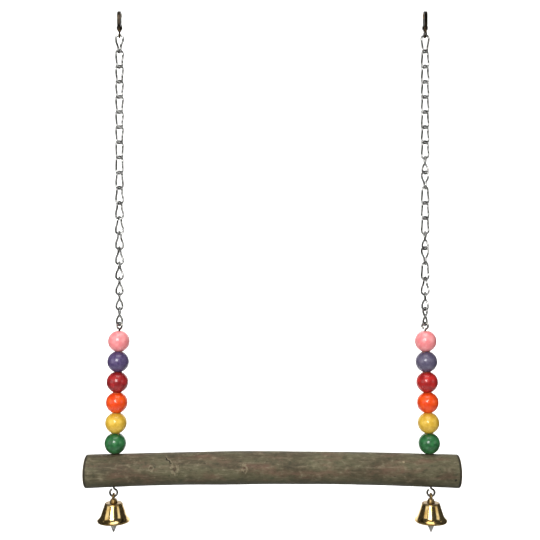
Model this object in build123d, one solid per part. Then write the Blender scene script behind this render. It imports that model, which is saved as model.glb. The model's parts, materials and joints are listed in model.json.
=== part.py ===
from build123d import *
from math import atan2, cos, degrees, radians, sin, sqrt
import os

# A bird swing: a bowed wooden perch hung by two twisted-wire chains, with six painted
# beads and a brass bell on each side, and a swivelling snap hook at the top of each chain.
# Millimetres and degrees. X runs along the perch, Y points away from the viewer, Z is up.
# The origin is halfway along the straight line through the bowls of the two hooks.

# Play and cutting
WIRE_PLAY = 0.25
SLIDE_PLAY = 0.12
DRIVEN_PLAY = 0.03
SEAT_GAP = 0.15
CUT_OVERRUN = 1.0

# Perch: a branch with the thickness of a natural stem, arched upward in the middle
PERCH_LENGTH = 345.0
PERCH_DIAMETER = 30.0
PERCH_BOW = 3.5
PERCH_END_ROUND = 1.2
PERCH_HOLE_PLAY = 0.4
HOLE_INSET = 26.5
MID_STATION_SHARES = (-0.55, -0.22, 0.08, 0.42)
MID_SWELL_SHARES = (0.985, 1.012, 0.988, 0.982)
END_SWELL_SHARE = 1.012

# Hanger rods: one bent wire each, with an eye above the beads and a ring below the perch
ROD_WIRE = 2.0
ROD_LEAN = 2.0
ROD_EYE_RADIUS = 2.9
ROD_EYE_YAW = -35.0
ROD_RING_RADIUS = 3.4
ROD_NECK_RADIUS = 2.2
ROD_CLOSE_SHARE = 1.15

# Beads
BEAD_DIAMETER = 20.0
BEAD_END_CUT = 0.625
BEAD_BORE = 4.4
BEAD_EDGE_ROUND = 0.6
BEAD_GAP = 0.15
BEAD_SEAT = 0.5
BEAD_COLOURS = ("pink", "violet", "red", "orange", "yellow", "green")

# Chain of twisted links; each twist turns the links between two of them by so many degrees
LINK_COUNT = 19
LINK_PITCH = 14.0
LINK_WIRE = 2.0
LINK_BEND_RADIUS = 3.3
LINK_TWIST = 30.0
LINK_SEAM = 0.2
LINKS_PER_NODE = 2
TOP_LINK_YAW = -30.0
LEFT_CHAIN_TWISTS = ((1, 2, 30.0), (7, 19, 80.0))
RIGHT_CHAIN_TWISTS = ((1, 2, 30.0), (8, 11, 180.0), (13, 16, 180.0), (16, 19, 80.0))

# Snap hook body
HOOK_BOWL_RADIUS = 2.75
HOOK_BAND = 2.1
HOOK_THICKNESS = 3.0
HOOK_SPINE = 8.4
HOOK_FLOOR = 8.2
HOOK_SHOULDER = 10.4
HOOK_BARREL_RADIUS = 2.7
HOOK_BARREL_TOP = 9.4
HOOK_BARREL_FOOT = 12.0
HOOK_EDGE_ROUND = 0.35
BEAK_LIP = 0.9
BEAK_ANGLE = 40.0
BEAK_LIP_ANGLE = 9.0

# Snap hook gate, its pin and its leaf spring
GATE_PIN_RADIUS = 0.55
GATE_PIN_REACH = 3.5
GATE_PIN_DROP = 7.6
GATE_LUG_RADIUS = 1.45
GATE_HEEL_RADIUS = 1.15
GATE_HEEL_WIDTH = 1.3
GATE_SLOT_PLAY = 0.15
GATE_ARM = 1.5
GATE_ARM_WIDTH = 2.4
GATE_NECK_DROP = 2.6
GATE_TIP_PLAY = 0.2
GATE_TIP_ANGLE = 25.0
GATE_STEP_DROP = 0.4
GATE_THUMB_DROP = 3.6
GATE_THUMB_RADIUS = 0.8
SPRING_STRIP = 0.3
SPRING_WIDTH = 1.2
SPRING_ROOT_DROP = 6.2
SPRING_BELLY_DROP = 6.7
SPRING_TIP_DROP = 5.2

# Swivel eye under the hook
SWIVEL_RING_RADIUS = 2.75
SWIVEL_WIRE = 1.7
SWIVEL_YAW = -80.0
SWIVEL_POST_RADIUS = 1.0
SWIVEL_COLLAR_RADIUS = 1.7
SWIVEL_COLLAR_HEIGHT = 1.5
SWIVEL_HEAD_RADIUS = 1.7
SWIVEL_HEAD_HEIGHT = 0.7

# Bell shell
BELL_LIP_RADIUS = 15.0
BELL_SHOULDER_RADIUS = 7.9
BELL_HEIGHT = 17.2
BELL_WAIST_RADIUS = 11.6
BELL_WAIST_RISE = 6.2
BELL_LIP_BAND = 1.6
BELL_WALL = 1.0
BELL_SHOULDER_ROUND = 1.3
BELL_LIP_ROUND = 0.35

# Bell knob on the crown
KNOB_EYE_RADIUS = 2.65
KNOB_EYE_WIRE = 2.1
KNOB_EYE_RISE = 5.4
KNOB_FLANGE_RADIUS = 3.5
KNOB_FLANGE_HEIGHT = 0.8
KNOB_NECK_RADIUS = 2.8
KNOB_NECK_HEIGHT = 3.4
KNOB_SOCKET_DEPTH = 1.5

# Clapper eye and clapper
SCREW_RADIUS = 1.2
SCREW_COLLAR_RADIUS = 2.2
SCREW_COLLAR_HEIGHT = 0.8
CLAPPER_EYE_RADIUS = 1.7
CLAPPER_WIRE = 1.2
CLAPPER_STEM_RADIUS = 0.7
CLAPPER_BOB_RADIUS = 3.8
CLAPPER_BOB_SHOULDER = 4.5
CLAPPER_BOB_DROP = 2.5
CLAPPER_TIP_DROP = 10.0
CLAPPER_TIP_RADIUS = 0.6

# Worked-out sizes
PERCH_RADIUS = PERCH_DIAMETER / 2
HOLE_SPACING = PERCH_LENGTH - 2 * HOLE_INSET
BOW_RADIUS = (PERCH_LENGTH / 2) ** 2 / (2 * PERCH_BOW) + PERCH_BOW / 2
ROD_RADIUS = ROD_WIRE / 2
LINK_RADIUS = LINK_WIRE / 2
SWIVEL_RADIUS = SWIVEL_WIRE / 2
KNOB_RADIUS = KNOB_EYE_WIRE / 2
CLAPPER_RADIUS = CLAPPER_WIRE / 2
HOOK_CROWN_RADIUS = HOOK_BOWL_RADIUS + HOOK_BAND
LINK_LENGTH = LINK_PITCH + LINK_WIRE + WIRE_PLAY


def neck_reach(eye_radius):
    """Distance along the rod from the start of its neck bend to the middle of its eye."""
    return sqrt(eye_radius**2 + 2 * ROD_NECK_RADIUS * eye_radius)


# Levels along a rod, measured from the middle of the perch
BEAD_HEIGHT = BEAD_DIAMETER - 2 * BEAD_END_CUT
BEAD_STEP = BEAD_HEIGHT + BEAD_GAP
STACK_FOOT = PERCH_RADIUS + BEAD_SEAT
STACK_TOP = STACK_FOOT + BEAD_STEP * len(BEAD_COLOURS)
ROD_NECK_TOP = STACK_TOP + BEAD_GAP
ROD_NECK_FOOT = -PERCH_RADIUS - BEAD_SEAT
EYE_LEVEL = ROD_NECK_TOP + neck_reach(ROD_EYE_RADIUS)
RING_LEVEL = ROD_NECK_FOOT - neck_reach(ROD_RING_RADIUS)

# Heights below the hanging line
SWIVEL_COLLAR_Z = -HOOK_BARREL_FOOT - SEAT_GAP
SWIVEL_RING_Z = SWIVEL_COLLAR_Z - SWIVEL_COLLAR_HEIGHT - SWIVEL_RING_RADIUS
SWIVEL_REST_Z = SWIVEL_RING_Z - SWIVEL_RING_RADIUS
FIRST_LINK_TOP_Z = SWIVEL_REST_Z + SWIVEL_RADIUS + LINK_RADIUS + WIRE_PLAY
LAST_LINK_FOOT_Z = FIRST_LINK_TOP_Z - LINK_PITCH * (LINK_COUNT - 1) - LINK_LENGTH
EYE_TOP_Z = LAST_LINK_FOOT_Z + LINK_RADIUS + ROD_RADIUS + WIRE_PLAY
EYE_Z = EYE_TOP_Z - ROD_EYE_RADIUS
HOLE_Z = EYE_Z - EYE_LEVEL * cos(radians(ROD_LEAN))
HANG_X = HOLE_SPACING / 2 - EYE_LEVEL * sin(radians(ROD_LEAN))
PERCH_Z = HOLE_Z + BOW_RADIUS - sqrt(BOW_RADIUS**2 - (HOLE_SPACING / 2) ** 2)

# Where a bell hangs: the lowest wire point of the rod's ring
BELL_X = HOLE_SPACING / 2 - RING_LEVEL * sin(radians(ROD_LEAN))
BELL_REST_Z = HOLE_Z + RING_LEVEL * cos(radians(ROD_LEAN)) - ROD_RING_RADIUS
KNOB_EYE_Z = BELL_REST_Z + ROD_RADIUS + WIRE_PLAY + KNOB_RADIUS - KNOB_EYE_RADIUS
CROWN_Z = KNOB_EYE_Z - KNOB_EYE_RISE

# Levels inside a bell, below its crown
SCREW_EYE_DROP = BELL_WALL + SCREW_COLLAR_HEIGHT + CLAPPER_EYE_RADIUS
CLAPPER_EYE_DROP = SCREW_EYE_DROP + 2 * CLAPPER_EYE_RADIUS - CLAPPER_WIRE - WIRE_PLAY

# The two sides: the sign of X and the twists of its chain
SIDES = {"left": (-1, LEFT_CHAIN_TWISTS), "right": (1, RIGHT_CHAIN_TWISTS)}
UP = Vector(0, 0, 1)
BACK = Vector(0, 1, 0)


def arc(center, first, second, radius, start, end):
    """Arc in the plane of two unit directions, from one angle to another."""

    def point(angle):
        across = first * (radius * cos(radians(angle)))
        along = second * (radius * sin(radians(angle)))
        return center + across + along

    return Edge.make_three_point_arc(point(start), point((start + end) / 2), point(end))


def tube(edges, radius):
    """Round wire along a chain of tangent edges."""
    path = Wire(edges)
    section = Plane(origin=path @ 0, z_dir=path % 0) * Circle(radius)
    return sweep(section, path=path)


def level(yaw):
    """Horizontal unit direction at an angle from the X axis."""
    return Vector(cos(radians(yaw)), sin(radians(yaw)), 0)


def cylinder(radius, foot, top):
    """Upright cylinder on the Z axis between two heights."""
    return extrude(Plane.XY.offset(foot) * Circle(radius), top - foot)


def ring(center_z, radius, wire_radius, yaw):
    """Upright wire ring whose plane is turned by yaw from the XZ plane."""
    return Pos(0, 0, center_z) * Rot(0, 0, yaw) * Rot(90, 0, 0) * Torus(radius, wire_radius)


def revolved(edges):
    """Full turn about Z of a closed outline in the XZ plane."""
    return revolve(make_face(edges), Axis.Z)


def flat(x, z):
    """Point of an outline in the XZ plane."""
    return Vector(x, 0, z)


def polyline(points):
    """Straight edges through the points, in order."""
    return [Edge.make_line(a, b) for a, b in zip(points, points[1:])]


def perch():
    """Arched branch with rounded ends and one leaning hole for each rod."""
    hole_share = HOLE_SPACING / PERCH_LENGTH
    stations = (-1, -hole_share, *MID_STATION_SHARES, hole_share, 1)
    swells = (END_SWELL_SHARE, 1, *MID_SWELL_SHARES, 1, END_SWELL_SHARE)
    sections = []
    for station, swell in zip(stations, swells):
        x = station * PERCH_LENGTH / 2
        z = PERCH_Z - BOW_RADIUS + sqrt(BOW_RADIUS**2 - x**2)
        upright = Plane(origin=(x, 0, z), x_dir=(0, 1, 0), z_dir=(1, 0, 0))
        sections.append(upright * Circle(PERCH_RADIUS * swell))
    branch = loft(sections)
    ends = branch.faces().sort_by(Axis.X)
    branch = fillet(ends[0].edges() + ends[-1].edges(), PERCH_END_ROUND)
    reach = PERCH_DIAMETER + CUT_OVERRUN
    for sign, _ in SIDES.values():
        branch -= rod_place(sign) * cylinder(ROD_RADIUS + PERCH_HOLE_PLAY, -reach, reach)
    return branch


def rod_place(sign):
    """Where a rod's own frame sits: the middle of its hole, leaning inward at the top."""
    return Pos(sign * HOLE_SPACING / 2, 0, HOLE_Z) * Rot(0, -sign * ROD_LEAN, 0)


def eye_edges(neck_z, radius, rise, yaw):
    """Wire from the stem's end round a centred eye, above (rise 1) or below (rise -1) the neck."""
    side = level(yaw)
    to_eye = UP * rise
    neck = UP * neck_z + side * ROD_NECK_RADIUS
    reach = neck_reach(radius)
    center = UP * neck_z + to_eye * reach
    joined = degrees(atan2(ROD_NECK_RADIUS, reach))
    closed = 360 - joined * ROD_CLOSE_SHARE
    middle = (joined + closed) / 2
    return [
        arc(neck, side * -1, to_eye, ROD_NECK_RADIUS, 0, 90 - joined),
        arc(center, to_eye * -1, side, radius, joined, middle),
        arc(center, to_eye * -1, side, radius, middle, closed),
    ]


def rod():
    """Hanger rod in its own frame, with Z along the stem and zero at the middle of the perch."""
    stem = Edge.make_line((0, 0, ROD_NECK_TOP), (0, 0, ROD_NECK_FOOT))
    upper = eye_edges(ROD_NECK_TOP, ROD_EYE_RADIUS, 1, ROD_EYE_YAW)
    lower = eye_edges(ROD_NECK_FOOT, ROD_RING_RADIUS, -1, 0)
    return tube([stem, *lower], ROD_RADIUS) + tube(upper, ROD_RADIUS)


def bead():
    """Turned bead: a ball cut flat at both ends, drilled through, with eased edges."""
    bore = BEAD_BORE / 2
    ball = BEAD_DIAMETER / 2
    end = BEAD_HEIGHT / 2
    flat_radius = sqrt(ball**2 - end**2)
    side = Edge.make_three_point_arc(flat(flat_radius, -end), flat(ball, 0), flat(flat_radius, end))
    rest = polyline([flat(flat_radius, end), flat(bore, end), flat(bore, -end), flat(flat_radius, -end)])
    turned = revolved([side, *rest])
    rims = turned.edges().filter_by(GeomType.CIRCLE)
    mouths = rims.filter_by(lambda edge: edge.radius < ball - BEAD_EDGE_ROUND)
    return fillet(mouths, BEAD_EDGE_ROUND)


def chain_link():
    """Twisted wire link centred on the origin, with its seam in the middle of one side."""
    half = LINK_LENGTH / 2 - LINK_BEND_RADIUS
    side = LINK_BEND_RADIUS * cos(radians(LINK_TWIST))
    lean = LINK_BEND_RADIUS * sin(radians(LINK_TWIST))
    curve = (half**2 + lean**2) / (2 * lean)
    turn = degrees(2 * atan2(lean, half))
    seam = turn - degrees(LINK_SEAM / 2 / curve)

    def side_arc(sign, rise, start, end):
        """Half of a side: its bend end is at angle 0 and the middle of the side at angle turn."""
        out = BACK * (sign * rise)
        center = Vector(sign * side, 0, rise * half) + out * (lean - curve)
        return arc(center, out, UP * -rise, curve, start, end)

    def bend(rise, start, end):
        """Half-round end of the link."""
        return arc(UP * (rise * half), level(rise * LINK_TWIST), UP * rise, LINK_BEND_RADIUS, start, end)

    edges = [
        side_arc(1, -1, seam, 0),
        bend(-1, 0, 180),
        side_arc(-1, -1, 0, turn),
        side_arc(-1, 1, turn, 0),
        bend(1, 180, 0),
        side_arc(1, 1, 0, seam),
    ]
    return tube(edges, LINK_RADIUS)


def link_yaw(number, twists):
    """Turn of a link about the vertical, from the twists above it in its chain."""
    total = TOP_LINK_YAW
    for first, last, turn in twists:
        total += turn * min(1, max(0, (number - first) / (last - first)))
    return total


def link_place(number, sign, twists):
    """Where a link hangs in its chain, counted from 1 at the top."""
    top = FIRST_LINK_TOP_Z - LINK_PITCH * (number - 1)
    return Pos(sign * HANG_X, 0, top - LINK_LENGTH / 2) * Rot(0, 0, link_yaw(number, twists))


def swivel_eye():
    """Ring with a riveted post that turns in the hook's barrel."""
    collar_foot = SWIVEL_COLLAR_Z - SWIVEL_COLLAR_HEIGHT
    head_foot = -HOOK_FLOOR + SEAT_GAP
    eye = ring(SWIVEL_RING_Z, SWIVEL_RING_RADIUS, SWIVEL_RADIUS, SWIVEL_YAW)
    eye += cylinder(SWIVEL_COLLAR_RADIUS, collar_foot, SWIVEL_COLLAR_Z)
    eye += cylinder(SWIVEL_POST_RADIUS, SWIVEL_COLLAR_Z, head_foot)
    eye += cylinder(SWIVEL_HEAD_RADIUS, head_foot, head_foot + SWIVEL_HEAD_HEIGHT)
    return eye


def sector(inner, outer, start, end):
    """Flat ring sector about the bowl's centre, in hook coordinates."""
    ring_face = Circle(outer) - Circle(inner)
    reach = outer * 2
    middle = (start + end) / 2
    corners = [(0, 0)] + [(reach * cos(radians(a)), reach * sin(radians(a))) for a in (start, middle, end)]
    return ring_face & make_face(Polyline(*corners, close=True))


def plate(outline, width):
    """Plate of an outline drawn in Y and Z, centred on X."""
    return extrude(Plane.YZ * outline, width / 2, both=True)


def hook_body():
    """Snap hook: bowl with a beak, straight spine, and a base with the gate's lugs and the barrel."""
    bowl = sector(HOOK_BOWL_RADIUS, HOOK_CROWN_RADIUS, BEAK_LIP_ANGLE, 180)
    notch_start = HOOK_BOWL_RADIUS - HOOK_EDGE_ROUND
    notch = sector(notch_start, HOOK_CROWN_RADIUS - BEAK_LIP, -BEAK_ANGLE, BEAK_ANGLE)
    spine = make_face(
        Polyline(
            (-HOOK_CROWN_RADIUS, 0),
            (-HOOK_CROWN_RADIUS, -HOOK_SPINE),
            (-HOOK_BARREL_RADIUS, -HOOK_SHOULDER),
            (HOOK_BARREL_RADIUS, -HOOK_SHOULDER),
            (GATE_PIN_REACH + GATE_LUG_RADIUS, -GATE_PIN_DROP),
            (GATE_PIN_REACH - GATE_LUG_RADIUS, -GATE_PIN_DROP),
            (GATE_PIN_REACH - GATE_LUG_RADIUS, -HOOK_FLOOR),
            (-HOOK_BOWL_RADIUS, -HOOK_FLOOR),
            (-HOOK_BOWL_RADIUS, 0),
            close=True,
        )
    )
    lugs = gate_axis() * Circle(GATE_LUG_RADIUS)
    body = plate(bowl + spine + lugs, HOOK_THICKNESS)
    body = fillet(body.faces().filter_by(Axis.X).edges(), HOOK_EDGE_ROUND)
    body -= plate(notch, HOOK_THICKNESS + CUT_OVERRUN)
    body += cylinder(HOOK_BARREL_RADIUS, -HOOK_BARREL_FOOT, -HOOK_BARREL_TOP)
    body -= cylinder(SWIVEL_POST_RADIUS + SLIDE_PLAY, -HOOK_BARREL_FOOT - CUT_OVERRUN, -HOOK_FLOOR)
    heel_room = GATE_HEEL_RADIUS + GATE_SLOT_PLAY
    slot_foot = -GATE_PIN_DROP - heel_room
    slot_top = -GATE_PIN_DROP + GATE_LUG_RADIUS + CUT_OVERRUN
    slot_start = GATE_PIN_REACH - heel_room
    slot_end = GATE_PIN_REACH + GATE_LUG_RADIUS + CUT_OVERRUN
    slot = Pos((slot_start + slot_end) / 2, (slot_foot + slot_top) / 2) * Rectangle(
        slot_end - slot_start, slot_top - slot_foot
    )
    body -= plate(slot, GATE_HEEL_WIDTH + 2 * GATE_SLOT_PLAY)
    body -= plate(gate_axis() * Circle(GATE_PIN_RADIUS + DRIVEN_PLAY), HOOK_THICKNESS + CUT_OVERRUN)
    return body


def gate_axis():
    """Where the gate's pin sits, in hook coordinates."""
    return Pos(GATE_PIN_REACH, -GATE_PIN_DROP)


def hook_gate():
    """Gate that closes the bowl: a tip behind the beak's lip, an arm with a thumb rib, and a heel."""
    inside = HOOK_BOWL_RADIUS + GATE_TIP_PLAY
    outside = HOOK_CROWN_RADIUS - BEAK_LIP - GATE_TIP_PLAY
    tip_y = cos(radians(GATE_TIP_ANGLE))
    tip_z = sin(radians(GATE_TIP_ANGLE))
    arm_foot = -GATE_PIN_DROP + GATE_LUG_RADIUS + 2 * GATE_SLOT_PLAY
    front = GATE_PIN_REACH + GATE_ARM / 2
    rear = GATE_PIN_REACH - GATE_ARM / 2
    arm = make_face(
        Polyline(
            (rear, arm_foot),
            (rear, -GATE_NECK_DROP),
            (inside, 0),
            (inside * tip_y, inside * tip_z),
            (outside * tip_y, outside * tip_z),
            (outside, 0),
            (front, -GATE_STEP_DROP),
            (front, arm_foot),
            close=True,
        )
    )
    thumb = Pos(front, -GATE_THUMB_DROP) * Circle(GATE_THUMB_RADIUS)
    shank_middle = Pos(GATE_PIN_REACH, (arm_foot - GATE_PIN_DROP) / 2)
    shank = shank_middle * Rectangle(GATE_ARM, arm_foot + GATE_PIN_DROP)
    heel = shank + gate_axis() * Circle(GATE_HEEL_RADIUS)
    gate = plate(arm + thumb, GATE_ARM_WIDTH) + plate(heel, GATE_HEEL_WIDTH)
    bore = gate_axis() * Circle(GATE_PIN_RADIUS + SLIDE_PLAY)
    return gate - plate(bore, GATE_ARM_WIDTH + CUT_OVERRUN)


def gate_pin():
    """Pin driven through the hook's lugs."""
    return plate(gate_axis() * Circle(GATE_PIN_RADIUS), HOOK_THICKNESS)


def gate_spring():
    """Leaf that leans on the spine and pushes the gate shut."""
    tip_y = GATE_PIN_REACH - GATE_ARM / 2 - SEAT_GAP
    root = (-HOOK_BOWL_RADIUS, -SPRING_ROOT_DROP)
    belly = ((tip_y - HOOK_BOWL_RADIUS) / 2, -SPRING_BELLY_DROP)
    tip = (tip_y, -SPRING_TIP_DROP)
    under = ThreePointArc(root, belly, tip)
    lift = Vector(0, SPRING_STRIP)
    over = Pos(0, SPRING_STRIP) * under
    ends = [Line(under @ 0, under @ 0 + lift), Line(under @ 1, under @ 1 + lift)]
    return plate(make_face([under, over, *ends]), SPRING_WIDTH)


def bell_shell():
    """Thin bell: flat crown, coned waist and a flared lip with a short band, open below."""

    def wall(inset, top):
        """Edges of one face of the wall, from its crown corner down to the lip."""
        shoulder = flat(BELL_SHOULDER_RADIUS - inset, top)
        waist = flat(BELL_WAIST_RADIUS - inset, CROWN_Z - BELL_HEIGHT + BELL_WAIST_RISE)
        band = flat(BELL_LIP_RADIUS - inset, CROWN_Z - BELL_HEIGHT + BELL_LIP_BAND)
        foot = flat(BELL_LIP_RADIUS - inset, CROWN_Z - BELL_HEIGHT)
        flare = Edge.make_tangent_arc(waist, waist - shoulder, band)
        return [Edge.make_line(shoulder, waist), flare, Edge.make_line(band, foot)]

    bore = SCREW_RADIUS + SLIDE_PLAY
    inner_top = CROWN_Z - BELL_WALL
    outer = wall(0, CROWN_Z)
    inner = wall(BELL_WALL, inner_top)
    crown = polyline([outer[0] @ 0, flat(bore, CROWN_Z), flat(bore, inner_top), inner[0] @ 0])
    lip = Edge.make_line(outer[-1] @ 1, inner[-1] @ 1)
    shell = revolved([*outer, *inner, *crown, lip])
    rounds = shell.edges().filter_by(GeomType.CIRCLE)
    shoulder = rounds.filter_by_position(Axis.Z, CROWN_Z, CROWN_Z).sort_by(SortBy.RADIUS)[-1]
    shell = fillet(shoulder, BELL_SHOULDER_ROUND)
    foot_z = CROWN_Z - BELL_HEIGHT
    lips = shell.edges().filter_by(GeomType.CIRCLE).filter_by_position(Axis.Z, foot_z, foot_z)
    return fillet(lips, BELL_LIP_ROUND)


def bell_knob():
    """Knob on the crown: a flange, a coned neck and a round eye for the rod's ring."""
    neck_foot = CROWN_Z + KNOB_FLANGE_HEIGHT
    outline = polyline(
        [
            flat(0, CROWN_Z),
            flat(KNOB_FLANGE_RADIUS, CROWN_Z),
            flat(KNOB_FLANGE_RADIUS, neck_foot),
            flat(KNOB_NECK_RADIUS, CROWN_Z + KNOB_NECK_HEIGHT),
            flat(0, CROWN_Z + KNOB_NECK_HEIGHT),
            flat(0, CROWN_Z),
        ]
    )
    knob = revolved(outline) + ring(KNOB_EYE_Z, KNOB_EYE_RADIUS, KNOB_RADIUS, 90)
    socket_top = CROWN_Z + KNOB_SOCKET_DEPTH
    return knob - cylinder(SCREW_RADIUS + DRIVEN_PLAY, CROWN_Z - CUT_OVERRUN, socket_top)


def clapper_eye():
    """Screw with a collar under the crown and an eye that holds the clapper."""
    collar_top = CROWN_Z - BELL_WALL
    collar_foot = collar_top - SCREW_COLLAR_HEIGHT
    eye = cylinder(SCREW_RADIUS, collar_foot, CROWN_Z + KNOB_SOCKET_DEPTH - SEAT_GAP)
    eye += cylinder(SCREW_COLLAR_RADIUS, collar_foot, collar_top)
    return eye + ring(CROWN_Z - SCREW_EYE_DROP, CLAPPER_EYE_RADIUS, CLAPPER_RADIUS, 0)


def clapper():
    """Pointed clapper on a thin stem, hung by its own eye."""
    eye_z = CROWN_Z - CLAPPER_EYE_DROP
    lip_z = CROWN_Z - BELL_HEIGHT
    bob_z = lip_z - CLAPPER_BOB_DROP
    tip_z = lip_z - CLAPPER_TIP_DROP
    outline = polyline(
        [
            flat(0, eye_z - CLAPPER_EYE_RADIUS),
            flat(CLAPPER_STEM_RADIUS, eye_z - CLAPPER_EYE_RADIUS),
            flat(CLAPPER_STEM_RADIUS, bob_z + CLAPPER_BOB_SHOULDER),
            flat(CLAPPER_BOB_RADIUS, bob_z),
            flat(CLAPPER_TIP_RADIUS, tip_z),
            flat(0, tip_z),
            flat(0, eye_z - CLAPPER_EYE_RADIUS),
        ]
    )
    return revolved(outline) + ring(eye_z, CLAPPER_EYE_RADIUS, CLAPPER_RADIUS, 90)


def side_nodes(side, sign, twists):
    """Every piece of one side, placed, by name."""
    hang = Pos(sign * HANG_X, 0, 0)
    bell = Pos(sign * BELL_X, 0, 0)
    nodes = {
        f"{side}_hook_body": hang * hook_body(),
        f"{side}_hook_gate": hang * hook_gate(),
        f"{side}_gate_pin": hang * gate_pin(),
        f"{side}_gate_spring": hang * gate_spring(),
        f"{side}_swivel_eye": hang * swivel_eye(),
        f"{side}_rod": rod_place(sign) * rod(),
        f"{side}_bell_shell": bell * bell_shell(),
        f"{side}_bell_knob": bell * bell_knob(),
        f"{side}_clapper_eye": bell * clapper_eye(),
        f"{side}_clapper": bell * clapper(),
    }
    one_bead = bead()
    for place, colour in enumerate(BEAD_COLOURS):
        middle = STACK_TOP - BEAD_GAP - BEAD_HEIGHT / 2 - BEAD_STEP * place
        nodes[f"{side}_{colour}_bead"] = rod_place(sign) * Pos(0, 0, middle) * one_bead
    one_link = chain_link()
    nodes[f"{side}_top_link"] = link_place(1, sign, twists) * one_link
    for first in range(2, LINK_COUNT + 1, LINKS_PER_NODE):
        last = min(first + LINKS_PER_NODE - 1, LINK_COUNT)
        links = [link_place(number, sign, twists) * one_link for number in range(first, last + 1)]
        nodes[f"{side}_links_{first:02d}_{last:02d}"] = Compound(links)
    return nodes


def main():
    """Builds every piece and writes one file for each node."""
    nodes = {"perch": perch()}
    for side, (sign, twists) in SIDES.items():
        nodes.update(side_nodes(side, sign, twists))
    os.makedirs("parts", exist_ok=True)
    for name, shape in nodes.items():
        export_step(shape, f"parts/{name}.step")


if __name__ == "__main__":
    main()
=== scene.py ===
"""Looks of a bird swing, built round its packed construction model.

A bowed branch hangs from two chains of twisted wire links. Lacquered wooden beads sit on a wire
hanger above each end of the branch, and a small brass bell with a pointed clapper hangs below it.
Lengths are in metres and angles in degrees, in the frame of the construction model.
"""

from __future__ import annotations

import json
import logging
import math
from collections.abc import Mapping, Sequence
from dataclasses import dataclass, field
from enum import Enum
from functools import reduce

import bpy
from mathutils import Matrix, Vector, noise

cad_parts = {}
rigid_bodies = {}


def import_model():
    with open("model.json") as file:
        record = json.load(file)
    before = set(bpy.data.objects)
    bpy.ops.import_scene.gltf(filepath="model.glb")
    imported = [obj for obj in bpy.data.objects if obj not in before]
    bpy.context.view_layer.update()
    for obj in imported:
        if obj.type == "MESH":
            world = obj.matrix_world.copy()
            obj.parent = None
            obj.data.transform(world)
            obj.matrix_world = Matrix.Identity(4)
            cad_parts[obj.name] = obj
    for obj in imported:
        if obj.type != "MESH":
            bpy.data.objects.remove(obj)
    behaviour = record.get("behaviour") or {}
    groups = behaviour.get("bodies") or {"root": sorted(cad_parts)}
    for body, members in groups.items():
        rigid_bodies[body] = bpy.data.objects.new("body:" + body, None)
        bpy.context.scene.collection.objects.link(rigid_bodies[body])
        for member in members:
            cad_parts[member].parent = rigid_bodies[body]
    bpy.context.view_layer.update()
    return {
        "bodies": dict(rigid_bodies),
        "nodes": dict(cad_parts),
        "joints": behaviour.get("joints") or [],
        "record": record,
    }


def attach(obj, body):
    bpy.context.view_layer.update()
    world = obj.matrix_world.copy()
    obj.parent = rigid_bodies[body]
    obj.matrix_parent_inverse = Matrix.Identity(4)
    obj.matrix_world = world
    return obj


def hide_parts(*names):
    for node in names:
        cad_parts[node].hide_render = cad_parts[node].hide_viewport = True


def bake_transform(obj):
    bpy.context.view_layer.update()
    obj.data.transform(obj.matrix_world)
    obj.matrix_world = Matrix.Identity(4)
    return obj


LOG = logging.getLogger("bird_swing")
MM = 0.001
FULL_TURN = 360.0
SHARP_EDGE = math.radians(38.0)
WIRE_EASE = 0.18
SAME_POINT = 1e-7
ON_AXIS = 1e-9
OUT = Vector((1.0, 0.0, 0.0))
BACK = Vector((0.0, 1.0, 0.0))
UP = Vector((0.0, 0.0, 1.0))
FRAME: dict = {}

Colour = tuple[float, float, float, float]
Triple = tuple[float, float, float]


class Side(Enum):
    """The two ends of the swing, with the sign of X on each."""

    LEFT = -1
    RIGHT = 1

    @property
    def word(self) -> str:
        """Name of the side as the construction model writes it."""
        return self.name.lower()


def paint(red: int, green: int, blue: int) -> Colour:
    """Colour as a shader takes it, from the levels that a screen shows.

    Args:
        red: Red level, 0 to 255.
        green: Green level, 0 to 255.
        blue: Blue level, 0 to 255.

    Returns:
        The linear colour with full alpha.
    """

    def linear(level: int) -> float:
        """One channel without the screen's gamma."""
        share = level / 255.0
        return share / 12.92 if share <= 0.04045 else ((share + 0.055) / 1.055) ** 2.4

    return linear(red), linear(green), linear(blue), 1.0


class Term:
    """A socket of a material, with arithmetic that adds Math nodes."""

    def __init__(self, recipe: Recipe, socket: bpy.types.NodeSocket) -> None:
        """Keeps the socket and the material that it belongs to."""
        self.recipe = recipe
        self.socket = socket

    def _join(self, operation: str, first: Term | float, second: Term | float) -> Term:
        """Math node on two values."""
        return self.recipe.node("ShaderNodeMath", {"operation": operation}, {0: first, 1: second})

    def __add__(self, other: Term | float) -> Term:
        """Sum."""
        return self._join("ADD", self, other)

    def __radd__(self, other: float) -> Term:
        """Sum with a plain number first."""
        return self._join("ADD", other, self)

    def __sub__(self, other: Term | float) -> Term:
        """Difference."""
        return self._join("SUBTRACT", self, other)

    def __rsub__(self, other: float) -> Term:
        """Difference from a plain number."""
        return self._join("SUBTRACT", other, self)

    def __mul__(self, other: Term | float) -> Term:
        """Product."""
        return self._join("MULTIPLY", self, other)

    def __rmul__(self, other: float) -> Term:
        """Product with a plain number first."""
        return self._join("MULTIPLY", other, self)

    def __abs__(self) -> Term:
        """Size without the sign."""
        return self._join("ABSOLUTE", self, 0.0)

    def sine(self) -> Term:
        """Sine of an angle in radians."""
        return self._join("SINE", self, 0.0)

    def most(self, other: Term | float) -> Term:
        """The larger of two values."""
        return self._join("MAXIMUM", self, other)

    def between(self, low: float, high: float) -> Term:
        """Smooth step from 0 at one value to 1 at another.

        Args:
            low: Value where the step starts.
            high: Value where it ends; below low, the step falls.

        Returns:
            The step, from 0 to 1.
        """
        settings = {"interpolation_type": "SMOOTHSTEP"}
        return self.recipe.node("ShaderNodeMapRange", settings, {0: self, 1: low, 2: high})


Value = Term | float | Sequence[float]


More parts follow.
